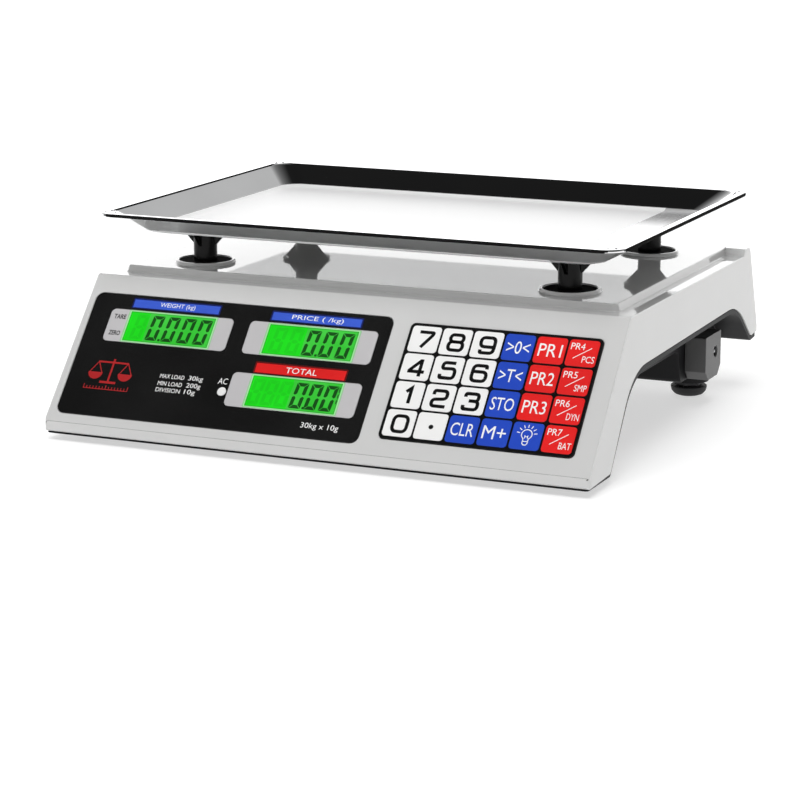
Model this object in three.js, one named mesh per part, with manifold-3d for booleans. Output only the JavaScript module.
// A price computing retail scale, in millimetres, +Z up.
// The origin is on the floor, at the middle of the footprint, and the keys face -Y.
import * as THREE from "three";
import { mergeVertices } from "three/addons/utils/BufferGeometryUtils.js";
import Module from "manifold-3d";

const wasm = await Module();
wasm.setup();

// ---- Driving dimensions ----
const BODY_WIDTH = 346.6;
const DECK_WIDTH = 344.4;
const BODY_DEPTH = 316.7;
const DECK_Z = 90;
const PLATEAU_Z = 94.2;
const SKIRT_Z = 5.5;
const SKIRT_SET_BACK = 1;
const SLOPE_FOOT_Z = 11.4;
const SLOPE_RUN = 67.5;
const REAR_TOP = 297.8;
const REAR_FOOT_Z = 36.3;
const WALL = 2.6;
const FRONT_WALL = 3.2;
const SIDE_WALL = 3.6;
const PLAN_RADIUS = 3;
const GAP = 0.3;

// The raised deck, with the step up to the ledge along its rear.
const PLATEAU = { half: 160.2, front: 79.8, rear: 290, lean: 1.2, corner: 3 };
const REAR_STEP = { foot: 284, top: 287 };

const POST_X = 120;
const POST_FRONT = 109;
const POST_REAR = 252;
const COLLAR_RADIUS = 18.4;
const COLLAR_BORE = 16.3;
const COLLAR_HEIGHT = 2;

const PAN_LENGTH = 340;
const PAN_DEPTH = 250;
const PAN_CENTRE = 180.3;
const PAN_RIM_Z = 129.3;
const PAN_SHEET = 1;
const PAN_WELL = 13;
const PAN_FLANGE = 6;
const PAN_FOOT = 22;
const PAN_CORNER = { rim: 15, foot: 13 };
const PAN_LIP = 2.6;

const BELLY_Z = 40;
const BLOCK_HALF = 152;
const FRONT_BLOCK_END = 72;
const REAR_BLOCK_START = 222;
const REAR_BLOCK_END = 302;
const REAR_BLOCK_Z = 18.5;
const BASE_WALL = 2.5;
const RIM_BAND = 3;
const FRONT_LIP = 1.2;
const TONGUE = 3;

const FOOT_X = 141;
const FOOT_FRONT = 42;
const FOOT_REAR = 274;
const FOOT_RADIUS = 11.6;
const FOOT_BOSS_Z = 9.4;

const WINDOW = { left: -168, right: 30.5, low: 7, high: 91, corner: 5.2 };
const KEYPAD = { left: 42.2, right: 160.6, low: 12.1, high: 88, corner: 3.2 };
const KEY_BORDER = 1.75;
const KEY_SPACE = 1.15;
const KEY_CORNER = 2;
const KEY_TRAVEL = 0.8;
const KEY_PROUD = 0.9;
const KEY_DEPTH = 4;
const KEY_ROWS = [
  ["key_7", "key_8", "key_9", "key_zero", "key_price_1", "key_price_4"],
  ["key_4", "key_5", "key_6", "key_tare", "key_price_2", "key_price_5"],
  ["key_1", "key_2", "key_3", "key_store", "key_price_3", "key_price_6"],
  ["key_0", "key_point", "key_clear", "key_add", "key_light", "key_price_7"],
];

// The three displays behind the front window: their visible faces on the slope.
const DISPLAYS = [
  { name: "lcd_weight", left: -154, right: -71.2, low: 58.2, high: 80.4 },
  { name: "lcd_unit_price", left: -60, right: 23.2, low: 58.2, high: 80.4 },
  { name: "lcd_total", left: -60.4, right: 23.2, low: 22.8, high: 45.4 },
];
const DISPLAY_CORNER = 3;
const DISPLAY_HOLE = { left: -160, right: 28, low: 14, high: 85, corner: 3 };
const DISPLAY_DEPTH = 6;
const LAMP = { x: -64, up: 31.6, radius: 2.8 };

const REAR_WINDOW = { half: 98, low: 12, high: 50, corner: 5 };
const REAR_LCD = { half: 88, low: 19, high: 43 };

const fromFront = (distance) => distance - BODY_DEPTH / 2;

// ---- Materials ----
const paint = (color, roughness, metalness = 0) =>
  new THREE.MeshStandardMaterial({ color, roughness, metalness });
const WHITE_SHELL = paint(0xe2e2e0, 0.25);
const DARK_SHELL = paint(0x2c2c2e, 0.55);
const BLACK_PLASTIC = paint(0x0c0c0d, 0.2);
const WINDOW_BLACK = paint(0x1a1a1a, 0.12);
const LCD_GREY = paint(0xc8c6c8, 0.3);
const LENS_WHITE = paint(0xf2f2f0, 0.3);
const POLISHED_STEEL = paint(0xcfd2d4, 0.12, 1);
const CELL_ALUMINIUM = paint(0xb4b8bc, 0.35, 1);
const ZINC_STEEL = paint(0x9a9da0, 0.35, 1);
const KEY_WHITE = paint(0xeeeeec, 0.4);
const KEY_BLUE = paint(0x2044c8, 0.4);
const KEY_RED = paint(0xdd1a1a, 0.4);
const RUBBER = paint(0x111112, 0.8);
const BOARD_GREEN = paint(0x1c5a34, 0.5);
const BATTERY_GREY = paint(0x3a3c40, 0.6);
const JACK_GREY = paint(0x6e6e6e, 0.5);

// ---- Geometry helpers ----

// A closed geometry as a manifold solid, optionally placed by a matrix first.
function solid(geometry, matrix) {
  const bare = geometry.clone();
  bare.deleteAttribute("normal");
  bare.deleteAttribute("uv");
  if (matrix) bare.applyMatrix4(matrix);
  const merged = mergeVertices(bare, 1e-4);
  const index = merged.index.array;
  const kept = [];
  for (let i = 0; i < index.length; i += 3) {
    const [a, b, c] = [index[i], index[i + 1], index[i + 2]];
    if (a !== b && b !== c && a !== c) kept.push(a, b, c);
  }
  return new wasm.Manifold(
    new wasm.Mesh({
      numProp: 3,
      vertProperties: merged.attributes.position.array,
      triVerts: new Uint32Array(kept),
    }),
  );
}

// A manifold solid as a three.js geometry.
function geometryOf(body) {
  const mesh = body.getMesh();
  const geometry = new THREE.BufferGeometry();
  geometry.setAttribute("position", new THREE.BufferAttribute(mesh.vertProperties, 3));
  geometry.setIndex(new THREE.BufferAttribute(mesh.triVerts, 1));
  geometry.computeVertexNormals();
  return geometry;
}

const joined = (first, ...others) => others.reduce((all, next) => all.add(next), first);
const without = (first, ...others) => others.reduce((all, next) => all.subtract(next), first);

// Points on an arc, from one angle to the other.
function arc(x, y, radius, start, end, steps) {
  const points = [];
  for (let i = 0; i <= steps; i++) {
    const angle = start + ((end - start) * i) / steps;
    points.push(new THREE.Vector2(x + radius * Math.cos(angle), y + radius * Math.sin(angle)));
  }
  return points;
}

// An outline through corners [x, y, radius], each rounded by an arc; an open one keeps its ends.
function rounded(corners, { steps = 5, closed = true } = {}) {
  const at = (i) => new THREE.Vector2(...corners[(i + corners.length) % corners.length]);
  return corners.flatMap(([x, y, radius = 0], i) => {
    const isEnd = !closed && (i === 0 || i === corners.length - 1);
    if (!radius || isEnd) return [new THREE.Vector2(x, y)];
    const corner = at(i);
    const before = at(i - 1).sub(corner).normalize();
    const after = at(i + 1).sub(corner).normalize();
    const half = before.angleTo(after) / 2;
    const middle = before.clone().add(after).normalize();
    const centre = corner.clone().addScaledVector(middle, radius / Math.sin(half));
    const reach = radius / Math.tan(half);
    const from = corner.clone().addScaledVector(before, reach).sub(centre).angle();
    const to = corner.clone().addScaledVector(after, reach).sub(centre).angle();
    const turn = THREE.MathUtils.euclideanModulo(to - from + Math.PI, 2 * Math.PI) - Math.PI;
    return arc(centre.x, centre.y, radius, from, from + turn, steps);
  });
}

const rectangle = (left, right, low, high, radius = 0, steps = 4) =>
  rounded(
    [
      [left, low, radius],
      [right, low, radius],
      [right, high, radius],
      [left, high, radius],
    ],
    { steps },
  );

// An open line moved sideways: a positive distance moves it to the right of its direction.
function offsetLine(points, distance) {
  return points.map((point, i) => {
    const before = points[Math.max(i - 1, 0)];
    const after = points[Math.min(i + 1, points.length - 1)];
    const inward = i > 0 ? point.clone().sub(before) : after.clone().sub(point);
    const outward = i < points.length - 1 ? after.clone().sub(point) : inward.clone();
    const sum = inward.normalize().add(outward.normalize()).normalize();
    const scale = distance / Math.max(sum.dot(outward), 0.3);
    return new THREE.Vector2(point.x + sum.y * scale, point.y - sum.x * scale);
  });
}

const X_AXIS = new THREE.Vector3(1, 0, 0);
const Y_AXIS = new THREE.Vector3(0, 1, 0);
const Z_AXIS = new THREE.Vector3(0, 0, 1);
const ALONG_X = new THREE.Matrix4().makeBasis(Y_AXIS, Z_AXIS, X_AXIS);
const ALONG_Y = new THREE.Matrix4().makeBasis(X_AXIS, Z_AXIS, Y_AXIS.clone().negate());

function extrusion(outline, length) {
  const shape = new THREE.Shape(outline);
  return new THREE.ExtrudeGeometry(shape, { depth: length, bevelEnabled: false });
}

// Outline in X and Y, from one height to another.
const prismZ = (outline, low, high) => extrusion(outline, high - low).translate(0, 0, low);
// Outline in Y and Z, from one X to another.
const prismX = (outline, left, right) =>
  extrusion(outline, right - left).applyMatrix4(ALONG_X).translate(left, 0, 0);
// Outline in X and Z, from one Y to another.
const prismY = (outline, front, rear) =>
  extrusion(outline, rear - front).applyMatrix4(ALONG_Y).translate(0, rear, 0);

const cylinderZ = (x, y, radius, low, high, sides = 32) =>
  new THREE.CylinderGeometry(radius, radius, high - low, sides)
    .rotateX(Math.PI / 2)
    .translate(x, y, (low + high) / 2);
const cylinderX = (y, z, radius, left, right, sides = 24) =>
  new THREE.CylinderGeometry(radius, radius, right - left, sides)
    .rotateZ(Math.PI / 2)
    .translate((left + right) / 2, y, z);
const box = (left, right, front, rear, low, high) =>
  new THREE.BoxGeometry(right - left, rear - front, high - low).translate(
    (left + right) / 2,
    (front + rear) / 2,
    (low + high) / 2,
  );

// A closed skin through loops of equal length, capped at both ends.
function loft(loops) {
  const count = loops[0].length;
  const vertices = loops.flat().flatMap((point) => [point.x, point.y, point.z]);
  const index = [];
  for (let row = 0; row < loops.length - 1; row++) {
    for (let i = 0; i < count; i++) {
      const a = row * count + i;
      const b = row * count + ((i + 1) % count);
      index.push(a, b, b + count, a, b + count, a + count);
    }
  }
  const last = (loops.length - 1) * count;
  for (let i = 1; i < count - 1; i++) {
    index.push(0, i + 1, i);
    index.push(last, last + i, last + i + 1);
  }
  const geometry = new THREE.BufferGeometry();
  geometry.setAttribute("position", new THREE.Float32BufferAttribute(vertices, 3));
  geometry.setIndex(index);
  return geometry;
}

const level = (outline, z) => outline.map((point) => new THREE.Vector3(point.x, point.y, z));

// The front slope's own frame: X to the right, Y up the slope, Z out of its face.
const SLOPE_RISE = DECK_Z - SLOPE_FOOT_Z;
const SLOPE_ANGLE = Math.atan2(SLOPE_RISE, SLOPE_RUN);
const SLOPE = new THREE.Matrix4()
  .makeTranslation(0, fromFront(0), SLOPE_FOOT_Z)
  .multiply(new THREE.Matrix4().makeRotationX(SLOPE_ANGLE));

// The rear wall's own frame, seen from behind: X to the right, Y up the wall, Z out of its face.
const REAR_LEAN = Math.atan2(BODY_DEPTH - REAR_TOP, PLATEAU_Z - REAR_FOOT_Z);
const REAR = new THREE.Matrix4()
  .makeTranslation(0, fromFront(BODY_DEPTH), REAR_FOOT_Z)
  .multiply(new THREE.Matrix4().makeRotationZ(Math.PI))
  .multiply(new THREE.Matrix4().makeRotationX(Math.PI / 2 - REAR_LEAN));

// ---- The object and its frame ----
const scale = new THREE.Group();
const slopeGroup = new THREE.Group();
slopeGroup.applyMatrix4(SLOPE);
const rearGroup = new THREE.Group();
rearGroup.applyMatrix4(REAR);
scale.add(slopeGroup, rearGroup);

function addPart(name, body, material, group = scale) {
  const mesh = new THREE.Mesh(geometryOf(body), material);
  mesh.name = name;
  group.add(mesh);
}

// ---- Housing outlines, as [distance from the front, height, corner radius] ----

// The white shell's lower edge on the sides: front leg, long arch, rear leg.
function archLine() {
  const corners = [
    [SKIRT_SET_BACK, SKIRT_Z, 0],
    [34.9, 6.6, 4],
    [72.2, 57.8, 44],
    [272.9, 60.8, 50],
    [303.5, 35.2, 5],
    [BODY_DEPTH, REAR_FOOT_Z, 0],
  ];
  return rounded(corners, { steps: 8, closed: false });
}

const shifted = (points) => points.map((p) => new THREE.Vector2(fromFront(p.x), p.y));

// The whole region under a line, down below the floor.
function regionBelow(line) {
  const first = line[0];
  const last = line[line.length - 1];
  const corners = [
    new THREE.Vector2(-10, first.y),
    ...line,
    new THREE.Vector2(BODY_DEPTH + 10, last.y),
    new THREE.Vector2(BODY_DEPTH + 10, -10),
    new THREE.Vector2(-10, -10),
  ];
  return shifted(corners.reverse());
}

function outerOutline() {
  const upper = rounded(
    [
      [BODY_DEPTH, REAR_FOOT_Z, 0],
      [REAR_TOP, PLATEAU_Z, 4],
      [REAR_STEP.top, PLATEAU_Z, 1.5],
      [REAR_STEP.foot, DECK_Z, 1],
      [SLOPE_RUN, DECK_Z, 2.5],
      [0, SLOPE_FOOT_Z, 1.5],
      [SKIRT_SET_BACK, SKIRT_Z, 0],
    ],
    { steps: 4, closed: false },
  );
  return shifted([...archLine().slice(0, -1), ...upper.slice(0, -1)]);
}

function cavityOutline() {
  const slopeDrop = FRONT_WALL / Math.cos(SLOPE_ANGLE);
  const roof = DECK_Z - WALL;
  const front = 3.4;
  const steep = SLOPE_RISE / SLOPE_RUN;
  const rearLean = Math.tan(REAR_LEAN);
  const rearShift = WALL / Math.cos(REAR_LEAN);
  const rearAt = (z) => REAR_TOP + (PLATEAU_Z - z) * rearLean - rearShift;
  return shifted(
    rounded([
      [front, -10, 0],
      [rearAt(-10), -10, 0],
      [rearAt(roof), roof, 3],
      [(roof - SLOPE_FOOT_Z + slopeDrop) / steep, roof, 3],
      [front, SLOPE_FOOT_Z + front * steep - slopeDrop, 0],
    ]),
  );
}

// The plan of the body, inset all round.
const planOutline = (inset) =>
  rectangle(
    -BODY_WIDTH / 2 + inset,
    BODY_WIDTH / 2 - inset,
    fromFront(inset),
    fromFront(BODY_DEPTH - inset),
    PLAN_RADIUS - inset / 2,
    6,
  );

const POSTS = [
  { name: "front_left", x: -POST_X, y: fromFront(POST_FRONT) },
  { name: "front_right", x: POST_X, y: fromFront(POST_FRONT) },
  { name: "rear_left", x: -POST_X, y: fromFront(POST_REAR) },
  { name: "rear_right", x: POST_X, y: fromFront(POST_REAR) },
];

const slopeRectangle = ({ left, right, low, high, corner = DISPLAY_CORNER }, grow = 0) =>
  rectangle(left - grow, right + grow, low - grow, high + grow, corner + grow, 5);

// ---- Upper housing ----
function plateau(inset, top) {
  const { half, front, rear, lean, corner } = PLATEAU;
  const plan = (run) =>
    rectangle(
      -half + run + inset,
      half - run - inset,
      fromFront(front + run + inset),
      fromFront(rear - inset),
      corner - run / 2,
      4,
    );
  return loft([level(plan(0), DECK_Z - 3), level(plan(0), DECK_Z), level(plan(lean), top)]);
}

function upperHousing() {
  const outer = solid(prismX(outerOutline(), -BODY_WIDTH / 2, BODY_WIDTH / 2));
  const taper = [
    [-BODY_WIDTH / 2, 0],
    [BODY_WIDTH / 2, 0],
    [DECK_WIDTH / 2, PLATEAU_Z],
    [-DECK_WIDTH / 2, PLATEAU_Z],
  ].map(([x, z]) => new THREE.Vector2(x, z));
  const sides = solid(prismY(taper, fromFront(-5), fromFront(BODY_DEPTH + 5)));
  const plan = solid(prismZ(planOutline(0), -5, PLATEAU_Z + 5));
  const innerPlan = solid(prismZ(planOutline(SIDE_WALL), -20, PLATEAU_Z + 5));
  const inner = BODY_WIDTH / 2 - SIDE_WALL;
  const cavity = solid(prismX(cavityOutline(), -inner, inner)).intersect(innerPlan);
  const collars = POSTS.map(({ x, y }) =>
    solid(cylinderZ(x, y, COLLAR_RADIUS, PLATEAU_Z - 1, PLATEAU_Z + COLLAR_HEIGHT, 40)),
  );
  const bores = POSTS.map(({ x, y }) =>
    solid(cylinderZ(x, y, COLLAR_BORE, DECK_Z - 8, PLATEAU_Z + 8, 40)),
  );
  const windowRecess = solid(prismZ(slopeRectangle(WINDOW), -1.6, 5), SLOPE);
  const displayOpening = solid(prismZ(slopeRectangle(DISPLAY_HOLE), -8, 0), SLOPE);
  const keyOpening = solid(prismZ(slopeRectangle(KEYPAD), -8, 5), SLOPE);
  const { half, low, high, corner } = REAR_WINDOW;
  const rearPlate = { left: -half, right: half, low, high, corner };
  const rearRecess = solid(prismZ(slopeRectangle(rearPlate), -1.4, 5), REAR);
  const rearOpening = solid(prismZ(slopeRectangle(rearPlate, -3), -8, 0), REAR);
  return without(
    joined(outer.intersect(sides).intersect(plan), solid(plateau(0, PLATEAU_Z)), ...collars),
    cavity,
    solid(plateau(4, PLATEAU_Z - WALL)),
    ...bores,
    windowRecess,
    displayOpening,
    keyOpening,
    rearRecess,
    rearOpening,
  );
}

// ---- Lower housing ----
const BATTERY_DOOR = { left: -123.5, right: -19.5, front: 226, rear: 299 };
const SWITCH = { x: 120, y: 150, bore_x: 19.2, bore_y: 13.2 };
// The front feet sit in round pockets; the rear feet stand on bosses that hang below the block.
const FRONT_FOOT = {
  y: fromFront(FOOT_FRONT),
  low: SKIRT_Z - FRONT_LIP,
  high: 27,
  outer: 15.5,
  inner: 15.5,
  pocket: 13.2,
};
const REAR_FOOT = { y: fromFront(FOOT_REAR), low: FOOT_BOSS_Z, high: 30, outer: 12.8, inner: 10 };
const FEET = [
  { name: "front_left", x: -FOOT_X, ...FRONT_FOOT },
  { name: "front_right", x: FOOT_X, ...FRONT_FOOT },
  { name: "rear_left", x: -FOOT_X, ...REAR_FOOT },
  { name: "rear_right", x: FOOT_X, ...REAR_FOOT },
];

// The underside between the side walls: front block, belly and rear block.
function blockOutline(inset) {
  const frontZ = SKIRT_Z - FRONT_LIP;
  return shifted(
    rounded([
      [8 + inset, frontZ + inset, 0],
      [FRONT_BLOCK_END - inset, frontZ + inset, 4],
      [FRONT_BLOCK_END + 6 - inset, BELLY_Z + inset, 4],
      [REAR_BLOCK_START - 6 + inset, BELLY_Z + inset, 4],
      [REAR_BLOCK_START + inset, REAR_BLOCK_Z + inset, 4],
      [REAR_BLOCK_END - inset, REAR_BLOCK_Z + inset, 4],
      [REAR_BLOCK_END - inset, 120, 0],
      [8 + inset, 120, 0],
    ]),
  );
}

function lowerHousing() {
  const edge = archLine();
  const under = (drop) => regionBelow(offsetLine(edge, drop));
  const wide = BODY_WIDTH / 2 - 1;
  const tongueOuter = BODY_WIDTH / 2 - SIDE_WALL - GAP;
  const tongueInner = tongueOuter - BASE_WALL;
  const lipZ = SKIRT_Z - FRONT_LIP;
  const rimPlan = solid(prismZ(planOutline(1.2), -20, 120));
  const belowLip = solid(box(-wide - 2, wide + 2, fromFront(-5), fromFront(40), -20, lipZ));
  const rimTop = solid(prismX(under(GAP), -wide, wide));
  const rim = rimTop
    .subtract(solid(prismX(under(RIM_BAND + GAP), -wide - 1, wide + 1)))
    .subtract(belowLip)
    .intersect(rimPlan);
  const blocks = solid(prismX(blockOutline(0), -BLOCK_HALF, BLOCK_HALF)).intersect(rimTop);
  const tongueEnds = solid(box(-wide, wide, fromFront(8), fromFront(298), -20, 120));
  const tongue = solid(prismX(under(-TONGUE), -tongueOuter, tongueOuter))
    .intersect(tongueEnds)
    .subtract(solid(prismX(under(GAP + 1), -wide, wide)))
    .subtract(solid(box(-tongueInner, tongueInner, -200, 200, -20, 120)));
  const boss = ({ x, y, low, high }, radius) => solid(cylinderZ(x, y, radius, low, high, 36));
  const bosses = FEET.map((foot) => boss(foot, foot.outer));
  const inside = BLOCK_HALF - BASE_WALL;
  const hollow = solid(prismX(blockOutline(BASE_WALL), -inside, inside));
  const innerBosses = FEET.map((foot) => boss(foot, foot.inner));
  const pockets = FEET.filter(({ pocket }) => pocket).map(({ x, y, pocket }) =>
    solid(cylinderZ(x, y, pocket, -5, FOOT_BOSS_Z, 36)),
  );
  const stems = FEET.map(({ x, y }) => solid(cylinderZ(x, y, 4.5, 0, 27, 20)));
  const door = BATTERY_DOOR;
  const doorway = solid(
    box(door.left, door.right, fromFront(door.front), fromFront(door.rear), 10, 24),
  );
  const switchBore = solid(
    box(
      SWITCH.x - SWITCH.bore_x / 2,
      SWITCH.x + SWITCH.bore_x / 2,
      fromFront(SWITCH.y - SWITCH.bore_y / 2),
      fromFront(SWITCH.y + SWITCH.bore_y / 2),
      BELLY_Z - 5,
      BELLY_Z + 8,
    ),
  );
  const shell = joined(rim, blocks, tongue, ...bosses).subtract(hollow);
  return without(joined(shell, ...innerBosses), ...pockets, ...stems, doorway, switchBore);
}

addPart("upper_housing", upperHousing(), WHITE_SHELL);
addPart("lower_housing", lowerHousing(), DARK_SHELL);

// ---- Front window, displays and lamp, in the slope's frame ----
function frontWindow() {
  const plate = solid(prismZ(slopeRectangle(WINDOW, -GAP), -1.3, -0.1));
  const openings = DISPLAYS.map((display) =>
    solid(prismZ(slopeRectangle(display, GAP), -3, 2)),
  );
  const lampHole = solid(cylinderZ(LAMP.x, LAMP.up, LAMP.radius + GAP, -3, 2, 24));
  return without(plate, ...openings, lampHole);
}

addPart("front_window", frontWindow(), WINDOW_BLACK, slopeGroup);
for (const display of DISPLAYS) {
  const body = solid(prismZ(slopeRectangle(display), -DISPLAY_DEPTH, -0.3));
  addPart(display.name, body, LCD_GREY, slopeGroup);
}
const lampBody = solid(cylinderZ(LAMP.x, LAMP.up, LAMP.radius, -DISPLAY_DEPTH, 0, 24));
addPart("status_lamp", lampBody, LENS_WHITE, slopeGroup);

const BOARD_TOP = -DISPLAY_DEPTH - GAP;
const BOARD_THICK = 1.6;
const displayBoard = solid(
  prismZ(rectangle(-162, 28, 14, 88, 2, 2), BOARD_TOP - BOARD_THICK, BOARD_TOP),
);
addPart("display_board", displayBoard, BOARD_GREEN, slopeGroup);

// ---- Keypad, in the slope's frame ----
const keypadWidth = KEYPAD.right - KEYPAD.left;
const keypadHeight = KEYPAD.high - KEYPAD.low;
const columns = KEY_ROWS[0].length;
const rows = KEY_ROWS.length;
const keyWidth = (keypadWidth - 2 * KEY_BORDER - (columns - 1) * KEY_SPACE) / columns;
const keyHeight = (keypadHeight - 2 * KEY_BORDER - (rows - 1) * KEY_SPACE) / rows;

function keyMaterial(name) {
  if (name.startsWith("key_price")) return KEY_RED;
  return /^key_(\d|point)$/.test(name) ? KEY_WHITE : KEY_BLUE;
}

KEY_ROWS.forEach((names, row) => {
  names.forEach((name, column) => {
    const left = KEYPAD.left + KEY_BORDER + column * (keyWidth + KEY_SPACE);
    const high = KEYPAD.high - KEY_BORDER - row * (keyHeight + KEY_SPACE);
    const outline = rectangle(left, left + keyWidth, high - keyHeight, high, KEY_CORNER, 3);
    const body = solid(prismZ(outline, -KEY_DEPTH, KEY_PROUD));
    addPart(name, body, keyMaterial(name), slopeGroup);
  });
});

const MAT_TOP = -KEY_DEPTH - KEY_TRAVEL - GAP;
const matOutline = slopeRectangle(KEYPAD, 2.4);
const keypadMat = solid(prismZ(matOutline, MAT_TOP - 1.5, MAT_TOP));
addPart("keypad_mat", keypadMat, RUBBER, slopeGroup);
const keyBoardTop = MAT_TOP - 1.5 - GAP;
const keyBoard = solid(prismZ(matOutline, keyBoardTop - BOARD_THICK, keyBoardTop));
addPart("key_board", keyBoard, BOARD_GREEN, slopeGroup);

// ---- Customer display at the rear, in the rear wall's frame ----
function rearWindow() {
  const { half, low, high, corner } = REAR_WINDOW;
  const plate = { left: -half, right: half, low, high, corner };
  const lcd = { left: -REAR_LCD.half, right: REAR_LCD.half, low: REAR_LCD.low, high: REAR_LCD.high };
  const sheet = solid(prismZ(slopeRectangle(plate, -GAP), -1.1, -0.1));
  return sheet.subtract(solid(prismZ(slopeRectangle(lcd, GAP), -3, 2)));
}

addPart("rear_window", rearWindow(), WINDOW_BLACK, rearGroup);
const rearLcdOutline = rectangle(
  -REAR_LCD.half,
  REAR_LCD.half,
  REAR_LCD.low,
  REAR_LCD.high,
  DISPLAY_CORNER,
);
addPart("rear_lcd", solid(prismZ(rearLcdOutline, -DISPLAY_DEPTH, -0.3)), LCD_GREY, rearGroup);

// ---- Load cell and weighing frame ----
const CELL = { half: 15, front: 112, rear: 242, low: 47.3, high: 69 };
const CELL_HOLE = { radius: 7.2, spread: 13, slot: 3 };
const PLATFORM_CLEAR = 0.8;
const FRAME_LOW = 74;
const FRAME_HIGH = 82;
const FRAME_BAR = { half: 134, wide: 24, corner: 8 };
const FRAME_WEB = 34;
const FRAME_POCKET = { half: 22, front: 134, rear: 196, corner: 6 };
const FRAME_RIB = { half: 104, thick: 4, high: 86 };

function loadCell() {
  const middle = (CELL.front + CELL.rear) / 2;
  const height = (CELL.low + CELL.high) / 2;
  const reach = CELL.half + 2;
  const bar = solid(
    box(-CELL.half, CELL.half, fromFront(CELL.front), fromFront(CELL.rear), CELL.low, CELL.high),
  );
  const holes = [-CELL_HOLE.spread, CELL_HOLE.spread].map((offset) =>
    solid(cylinderX(fromFront(middle + offset), height, CELL_HOLE.radius, -reach, reach)),
  );
  const slot = solid(
    box(
      -reach,
      reach,
      fromFront(middle - CELL_HOLE.spread),
      fromFront(middle + CELL_HOLE.spread),
      height - CELL_HOLE.slot,
      height + CELL_HOLE.slot,
    ),
  );
  return without(bar, ...holes, slot);
}

function weighingFrame() {
  const bar = (distance) => {
    const y = fromFront(distance);
    const reach = FRAME_BAR.wide / 2;
    const plan = rectangle(-FRAME_BAR.half, FRAME_BAR.half, y - reach, y + reach, FRAME_BAR.corner);
    return solid(prismZ(plan, FRAME_LOW, FRAME_HIGH));
  };
  const web = solid(
    box(-FRAME_WEB, FRAME_WEB, fromFront(POST_FRONT), fromFront(POST_REAR), FRAME_LOW, FRAME_HIGH),
  );
  const hole = rectangle(
    -FRAME_POCKET.half,
    FRAME_POCKET.half,
    fromFront(FRAME_POCKET.front),
    fromFront(FRAME_POCKET.rear),
    FRAME_POCKET.corner,
  );
  const pocket = solid(prismZ(hole, FRAME_LOW - 1, FRAME_HIGH + 1));
  const rib = (distance) => {
    const y = fromFront(distance);
    const reach = FRAME_RIB.thick / 2;
    return solid(
      box(-FRAME_RIB.half, FRAME_RIB.half, y - reach, y + reach, FRAME_HIGH - 1, FRAME_RIB.high),
    );
  };
  const ribs = [POST_FRONT, POST_REAR].map(rib);
  return joined(bar(POST_FRONT), bar(POST_REAR), web, ...ribs).subtract(pocket);
}

addPart("load_cell", loadCell(), CELL_ALUMINIUM);
const spacerLow = box(-14, 14, fromFront(114), fromFront(146), BELLY_Z + BASE_WALL + GAP, 47);
const spacerHigh = box(
  -14,
  14,
  fromFront(208),
  fromFront(240),
  CELL.high + PLATFORM_CLEAR,
  FRAME_LOW - GAP,
);
addPart("cell_spacer_lower", solid(spacerLow), ZINC_STEEL);
addPart("cell_spacer_upper", solid(spacerHigh), ZINC_STEEL);
addPart("weighing_frame", weighingFrame(), CELL_ALUMINIUM);

// ---- Pan posts ----
const PAN_FLOOR_Z = PAN_RIM_Z - PAN_WELL;
const HEAD_TOP = PAN_FLOOR_Z - PAN_SHEET - GAP;

const POST_RADIUS = 7.25;
const POST_DISC = { radius: 15.7, low: 93.8, high: 95.2 };
const POST_HEAD = { radius: 15.8, thick: 1.8 };
const FIN_FOOT_Z = 104.8;

// A rod with a foot on the frame, a disc that closes the collar, and a finned head.
function panPost(x, y) {
  const foot = FRAME_HIGH + GAP;
  const headLow = HEAD_TOP - POST_HEAD.thick;
  const profile = [
    [0, foot],
    [12, foot],
    [12, foot + 3],
    [POST_RADIUS, foot + 4],
    [POST_RADIUS, POST_DISC.low],
    [POST_DISC.radius, POST_DISC.low],
    [POST_DISC.radius, POST_DISC.high],
    [POST_RADIUS, POST_DISC.high],
    [POST_RADIUS, headLow],
    [POST_HEAD.radius - 0.8, headLow],
    [POST_HEAD.radius, headLow + 0.6],
    [POST_HEAD.radius, HEAD_TOP - 0.4],
    [POST_HEAD.radius - 0.4, HEAD_TOP],
    [0, HEAD_TOP],
  ].map(([radius, z]) => new THREE.Vector2(radius, z));
  const stem = solid(new THREE.LatheGeometry(profile, 28).rotateX(Math.PI / 2));
  const finTop = POST_HEAD.radius - 1;
  const fin = [
    [-POST_RADIUS + 0.4, FIN_FOOT_Z],
    [POST_RADIUS - 0.4, FIN_FOOT_Z],
    [finTop, headLow + 0.2],
    [-finTop, headLow + 0.2],
  ].map(([u, z]) => new THREE.Vector2(u, z));
  const finAcross = solid(prismY(fin, -1.2, 1.2));
  const finAlong = solid(prismX(fin, -1.2, 1.2));
  return joined(stem, finAcross, finAlong).translate([x, y, 0]);
}

for (const { name, x, y } of POSTS) {
  addPart("pan_post_" + name, panPost(x, y), BLACK_PLASTIC);
}

// ---- Weighing pan: one pressed sheet with a rolled rim ----
function panOutline(inset, radius) {
  const halfLength = PAN_LENGTH / 2 - inset;
  const halfDepth = PAN_DEPTH / 2 - inset;
  const y = fromFront(PAN_CENTRE);
  return rectangle(-halfLength, halfLength, y - halfDepth, y + halfDepth, radius, 6);
}

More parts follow.
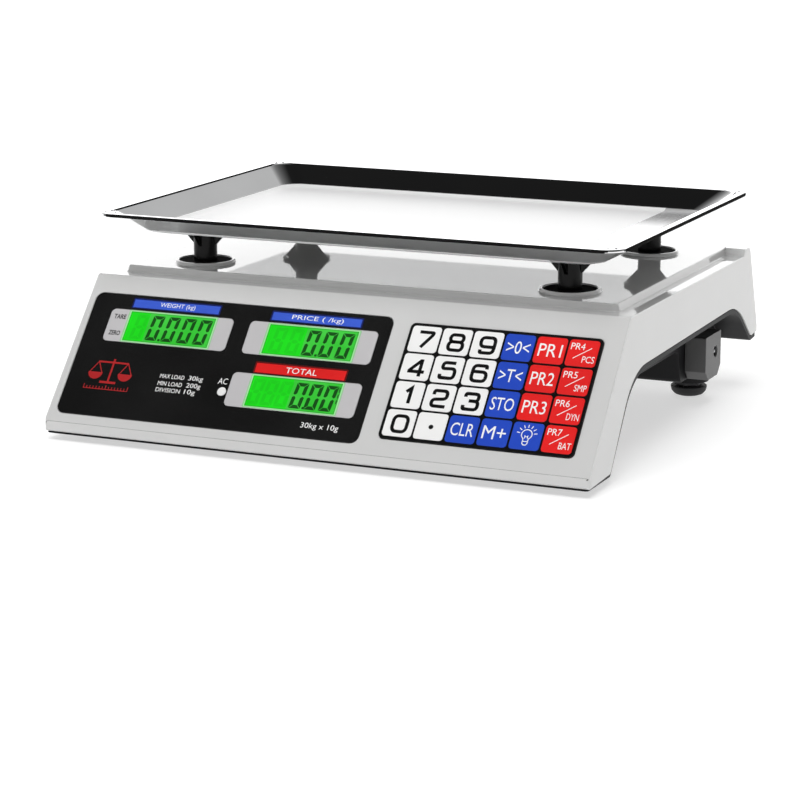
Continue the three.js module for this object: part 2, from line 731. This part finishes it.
function weighingPan() {
  const rimTop = PAN_RIM_Z;
  const floorTop = PAN_FLOOR_Z;
  const narrowing = (PAN_CORNER.rim - PAN_CORNER.foot) / PAN_FOOT;
  const cornerAt = (inset) => PAN_CORNER.rim - Math.min(inset, PAN_FOOT) * narrowing;
  const loop = (inset, z) => level(panOutline(inset, cornerAt(inset)), z);
  const outside = [
    [PAN_FOOT + 7, floorTop - PAN_SHEET],
    [PAN_FOOT + 2, floorTop - PAN_SHEET + 0.6],
    [PAN_FOOT - 1.5, floorTop - PAN_SHEET + 2.2],
    [PAN_FLANGE + 1, rimTop - PAN_SHEET - 1.4],
    [PAN_FLANGE - 1, rimTop - PAN_SHEET - 0.4],
    [1.4, rimTop - PAN_SHEET - 0.4],
    [1.2, rimTop - PAN_LIP],
  ];
  const inside = [
    [0.2, rimTop - PAN_LIP],
    [0, rimTop - 0.9],
    [0.7, rimTop - 0.1],
    [2.4, rimTop],
    [PAN_FLANGE, rimTop - 0.3],
    [PAN_FLANGE + 1.6, rimTop - 1.3],
    [PAN_FOOT - 1, floorTop + 2],
    [PAN_FOOT + 2.4, floorTop + 0.5],
    [PAN_FOOT + 7, floorTop],
  ];
  return solid(loft([...outside, ...inside].map(([inset, z]) => loop(inset, z))));
}

addPart("weighing_pan", weighingPan(), POLISHED_STEEL);

// ---- Levelling feet ----
function footPad(x, y) {
  const profile = [
    [0, 0],
    [6.6, 0],
    [FOOT_RADIUS - 2.4, 0.9],
    [FOOT_RADIUS - 0.6, 3],
    [FOOT_RADIUS, 5.4],
    [FOOT_RADIUS, 6.4],
    [0, 6.4],
  ].map(([radius, z]) => new THREE.Vector2(radius, z));
  return solid(new THREE.LatheGeometry(profile, 32).rotateX(Math.PI / 2)).translate([x, y, 0]);
}

function footScrew(x, y) {
  const flange = solid(cylinderZ(x, y, 9.2, 6.8, 9, 6));
  return flange.add(solid(cylinderZ(x, y, 4, 8.5, 26, 18)));
}

for (const { name, x, y } of FEET) {
  addPart("foot_pad_" + name, footPad(x, y), RUBBER);
  addPart("foot_screw_" + name, footScrew(x, y), ZINC_STEEL);
}

// ---- Battery, door, power board, inlet and switch ----
const BATTERY = { left: -122, right: -21, front: 227.5, rear: 297.5, low: 21.5, high: 68.5 };
const BATTERY_TAB = { left: -60, right: -40, half: 3, front: 232, rear: 233.5, high: 72 };

function batteryBlock() {
  const body = solid(
    box(
      BATTERY.left,
      BATTERY.right,
      fromFront(BATTERY.front),
      fromFront(BATTERY.rear),
      BATTERY.low,
      BATTERY.high,
    ),
  );
  const tabs = [BATTERY_TAB.left, BATTERY_TAB.right].map((x) =>
    solid(
      box(
        x - BATTERY_TAB.half,
        x + BATTERY_TAB.half,
        fromFront(BATTERY_TAB.front),
        fromFront(BATTERY_TAB.rear),
        BATTERY.high - 0.5,
        BATTERY_TAB.high,
      ),
    ),
  );
  return joined(body, ...tabs);
}

addPart("battery", batteryBlock(), BATTERY_GREY);

const DOOR_CLEAR = 0.5;
const doorBody = solid(
  box(
    BATTERY_DOOR.left + DOOR_CLEAR,
    BATTERY_DOOR.right - DOOR_CLEAR,
    fromFront(BATTERY_DOOR.front + DOOR_CLEAR),
    fromFront(BATTERY_DOOR.rear - DOOR_CLEAR),
    REAR_BLOCK_Z,
    REAR_BLOCK_Z + 2.4,
  ),
);
addPart("battery_door", doorBody, DARK_SHELL);

const BOARD = { left: 34, right: 112, front: 236, rear: 292, low: 28, high: 29.6 };
const CAPACITOR = { x: 56, y: 272, radius: 6.3, high: 48 };
const HEAT_SINK = { left: 74, right: 104, front: 250, rear: 252, high: 46 };
const BOARD_PLUG = { left: 42, right: 66, front: 240, rear: 247, high: 36 };

function powerBoard() {
  const seat = BOARD.high - 0.6;
  const block = ({ left, right, front, rear, high }, low) =>
    solid(box(left, right, fromFront(front), fromFront(rear), low, high));
  const capacitor = solid(
    cylinderZ(CAPACITOR.x, fromFront(CAPACITOR.y), CAPACITOR.radius, seat, CAPACITOR.high, 20),
  );
  return joined(block(BOARD, BOARD.low), capacitor, block(HEAT_SINK, seat), block(BOARD_PLUG, seat));
}

addPart("power_board", powerBoard(), BOARD_GREEN);

const JACK = { front: 229, rear: 260, low: 19, high: 47, face: 166, chamfer: 6 };
const JACK_HOLE = { y: 249, z: 35, radius: 3.8, deep: 10, pin: 1.1 };

function dcJack() {
  const { front, rear, low, high, face, chamfer } = JACK;
  const outline = shifted(
    rounded([
      [front, low + chamfer, 0],
      [front + chamfer, low, 0],
      [rear - chamfer, low, 0],
      [rear, low + chamfer, 0],
      [rear, high, 1],
      [front, high, 1],
    ]),
  );
  const block = solid(prismX(outline, BLOCK_HALF + GAP, face));
  const y = fromFront(JACK_HOLE.y);
  const bottom = face - JACK_HOLE.deep;
  const hole = solid(cylinderX(y, JACK_HOLE.z, JACK_HOLE.radius, bottom, face + 2));
  const pin = solid(cylinderX(y, JACK_HOLE.z, JACK_HOLE.pin, bottom - 1, face - 0.8, 16));
  return block.subtract(hole).add(pin);
}

addPart("dc_jack", dcJack(), JACK_GREY);

const ROCKER_PIVOT_Z = 43.6;
const ROCKER_TILT = THREE.MathUtils.degToRad(8);

const SWITCH_FLANGE = { x: 12, y: 8.5, low: 38.1, high: BELLY_Z - GAP };
const SWITCH_BODY = { x: 9.3, y: 6.3, low: 39, high: 54 };
const SWITCH_POCKET = { x: 8, y: 5.2, low: 30, high: 47.4 };

function switchFrame() {
  const block = ({ x, y, low, high }, corner = 0.4) => {
    const middle = fromFront(SWITCH.y);
    const plan = rectangle(SWITCH.x - x, SWITCH.x + x, middle - y, middle + y, corner);
    return solid(prismZ(plan, low, high));
  };
  return block(SWITCH_FLANGE, 1.2).add(block(SWITCH_BODY)).subtract(block(SWITCH_POCKET));
}

function powerRocker() {
  const outline = [
    [-6.6, 2],
    [-6.9, -4.6],
    [0, -3.6],
    [6.9, -4.6],
    [6.6, 2],
  ].map(([x, z]) => new THREE.Vector2(x, z));
  const half = 4.8;
  const tilt = new THREE.Matrix4()
    .makeTranslation(SWITCH.x, fromFront(SWITCH.y), ROCKER_PIVOT_Z)
    .multiply(new THREE.Matrix4().makeRotationY(ROCKER_TILT));
  return solid(prismY(outline, -half, half), tilt);
}

addPart("switch_frame", switchFrame(), BLACK_PLASTIC);
addPart("power_rocker", powerRocker(), KEY_RED);

// ---- Load cell cable, from the cell's fixed end to the display board ----
function cellCable() {
  const route = new THREE.CatmullRomCurve3([
    new THREE.Vector3(0, fromFront(111.4), 58),
    new THREE.Vector3(0, fromFront(100), 58),
    new THREE.Vector3(-6, fromFront(84), 55),
    new THREE.Vector3(-14, fromFront(68), 54),
    new THREE.Vector3(-18, fromFront(60), 53),
  ]);
  const section = new THREE.Shape(arc(0, 0, 2, 0, 2 * Math.PI, 8).slice(0, -1));
  return solid(new THREE.ExtrudeGeometry(section, { steps: 16, extrudePath: route }));
}

addPart("load_cell_cable", cellCable(), RUBBER);

export default scale;
